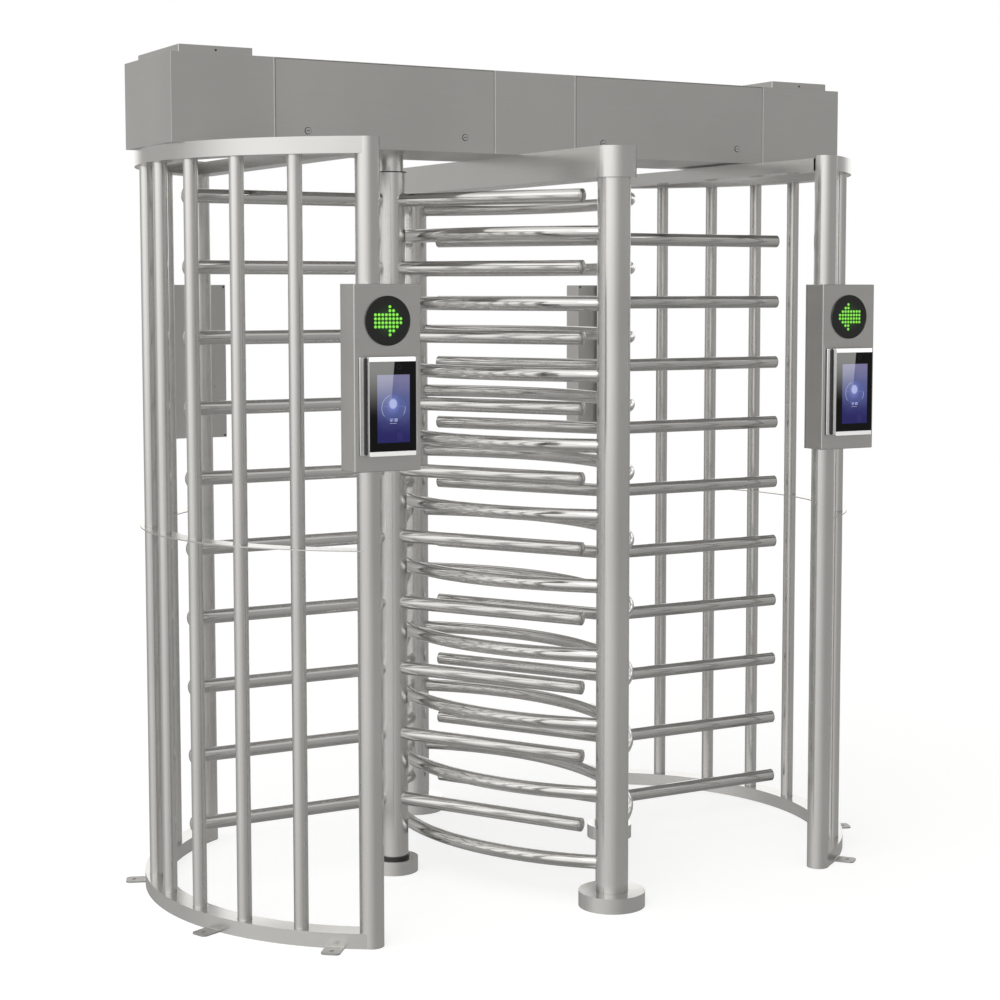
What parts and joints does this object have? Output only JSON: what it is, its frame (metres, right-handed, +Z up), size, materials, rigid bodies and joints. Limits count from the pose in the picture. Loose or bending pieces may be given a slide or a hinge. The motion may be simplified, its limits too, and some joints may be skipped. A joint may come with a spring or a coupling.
{
  "type": "full height turnstile",
  "caption": "Full height turnstile with two lanes: winged rotors turn between round cages and a barrier of curved bars under one canopy, with reader boxes at the entries.",
  "frame": {"origin": "on the floor at the centre of the footprint, below the middle of the canopy", "axes": "+X along the canopy towards the right lane, +Y through the lanes towards the rear, +Z up"},
  "size_m": [2.1592, 1.4388, 2.3],
  "materials": {
    "tube_steel": "satin stainless tube",
    "arm_steel": "polished stainless tube",
    "cap_steel": "satin stainless cap",
    "sheet_steel": "brushed stainless sheet",
    "machined_steel": "machined",
    "alloy_case": "satin",
    "dark_metal": "black paint",
    "dark_screws": "blackened",
    "seal_rubber": "matte",
    "black_plastic": "gloss black",
    "grey_plastic": "matte",
    "green_lamps": "lit green lamps",
    "screen_glass": "gloss"
  },
  "bodies": {
    "frame": {"barrier_posts": "tube_steel", "barrier_flanges": "tube_steel", "barrier_beam": "tube_steel", "barrier_bars_left": "tube_steel", "barrier_bars_right": "tube_steel", "cage_posts": "tube_steel", "cage_top_bands": "tube_steel", "cage_floor_bands": "tube_steel", "cage_mid_rings": "tube_steel", "left_cage_bars": "tube_steel", "right_cage_bars": "tube_steel", "cage_ties": "tube_steel", "anchor_tabs": "tube_steel", "canopy_tray": "sheet_steel", "canopy_end_blocks": "sheet_steel", "canopy_middle": "sheet_steel", "canopy_covers": "sheet_steel", "canopy_lids": "sheet_steel", "case_screws": "dark_screws", "pivot_bases": "tube_steel", "pivot_seals": "seal_rubber", "neck_housings": "machined_steel", "neck_bearings": "machined_steel", "drive_motors": "dark_metal", "motor_brackets": "machined_steel", "lock_solenoids": "dark_metal", "control_unit": "grey_plastic", "power_supply": "alloy_case", "reader_box_left_front": "sheet_steel", "reader_box_left_rear": "sheet_steel", "reader_box_right_front": "sheet_steel", "reader_box_right_rear": "sheet_steel", "reader_back_plates": "sheet_steel", "arrow_discs": "black_plastic", "arrow_lamps": "green_lamps", "terminal_cases": "alloy_case", "terminal_fronts": "black_plastic", "terminal_screens": "screen_glass", "terminal_strips": "alloy_case"},
    "left_rotor": {"left_rotor_column": "tube_steel", "left_rotor_shaft": "machined_steel", "left_rotor_foot": "machined_steel", "left_rotor_arms": "arm_steel", "left_arm_caps": "cap_steel", "left_lock_disc": "machined_steel"},
    "left_lock_bolt": {"left_lock_bolt": "machined_steel"},
    "left_panel": {"left_access_panel": "sheet_steel"},
    "left_outer_panel_lock": {"left_panel_lock_outer": "tube_steel"},
    "left_inner_panel_lock": {"left_panel_lock_inner": "tube_steel"},
    "right_rotor": {"right_rotor_column": "tube_steel", "right_rotor_shaft": "machined_steel", "right_rotor_foot": "machined_steel", "right_rotor_arms": "arm_steel", "right_arm_caps": "cap_steel", "right_lock_disc": "machined_steel"},
    "right_lock_bolt": {"right_lock_bolt": "machined_steel"},
    "right_panel": {"right_access_panel": "sheet_steel"},
    "right_outer_panel_lock": {"right_panel_lock_outer": "tube_steel"},
    "right_inner_panel_lock": {"right_panel_lock_inner": "tube_steel"}
  },
  "joints": [
    {"name": "left_rotor_spin", "type": "hinge", "parent": "frame", "child": "left_rotor", "pos_m": [-0.366, 0, 0], "axis": [0, 0, 1], "continuous": true},
    {"name": "right_rotor_spin", "type": "hinge", "parent": "frame", "child": "right_rotor", "pos_m": [0.366, 0, 0], "axis": [0, 0, 1], "continuous": true},
    {"name": "left_lock_slide", "type": "slide", "parent": "frame", "child": "left_lock_bolt", "axis": [-1, 0, 0], "range_m": [0, 0.0115], "stiffness_N_per_m": 300, "springref_m": -0.004},
    {"name": "right_lock_slide", "type": "slide", "parent": "frame", "child": "right_lock_bolt", "axis": [1, 0, 0], "range_m": [0, 0.0115], "stiffness_N_per_m": 300, "springref_m": -0.004},
    {"name": "left_panel_hinge", "type": "hinge", "parent": "frame", "child": "left_panel", "pos_m": [-0.461, -0.175, 2.263], "axis": [-1, 0, 0], "range_deg": [0, 80]},
    {"name": "right_panel_hinge", "type": "hinge", "parent": "frame", "child": "right_panel", "pos_m": [0.461, -0.175, 2.263], "axis": [-1, 0, 0], "range_deg": [0, 80]},
    {"name": "left_outer_panel_lock_turn", "type": "hinge", "parent": "left_panel", "child": "left_outer_panel_lock", "pos_m": [-0.697, -0.179, 2.09], "axis": [0, 1, 0], "range_deg": [0, 90]},
    {"name": "left_inner_panel_lock_turn", "type": "hinge", "parent": "left_panel", "child": "left_inner_panel_lock", "pos_m": [-0.225, -0.179, 2.09], "axis": [0, 1, 0], "range_deg": [0, 90]},
    {"name": "right_outer_panel_lock_turn", "type": "hinge", "parent": "right_panel", "child": "right_outer_panel_lock", "pos_m": [0.697, -0.179, 2.09], "axis": [0, 1, 0], "range_deg": [0, 90]},
    {"name": "right_inner_panel_lock_turn", "type": "hinge", "parent": "right_panel", "child": "right_inner_panel_lock", "pos_m": [0.225, -0.179, 2.09], "axis": [0, 1, 0], "range_deg": [0, 90]}
  ]
}
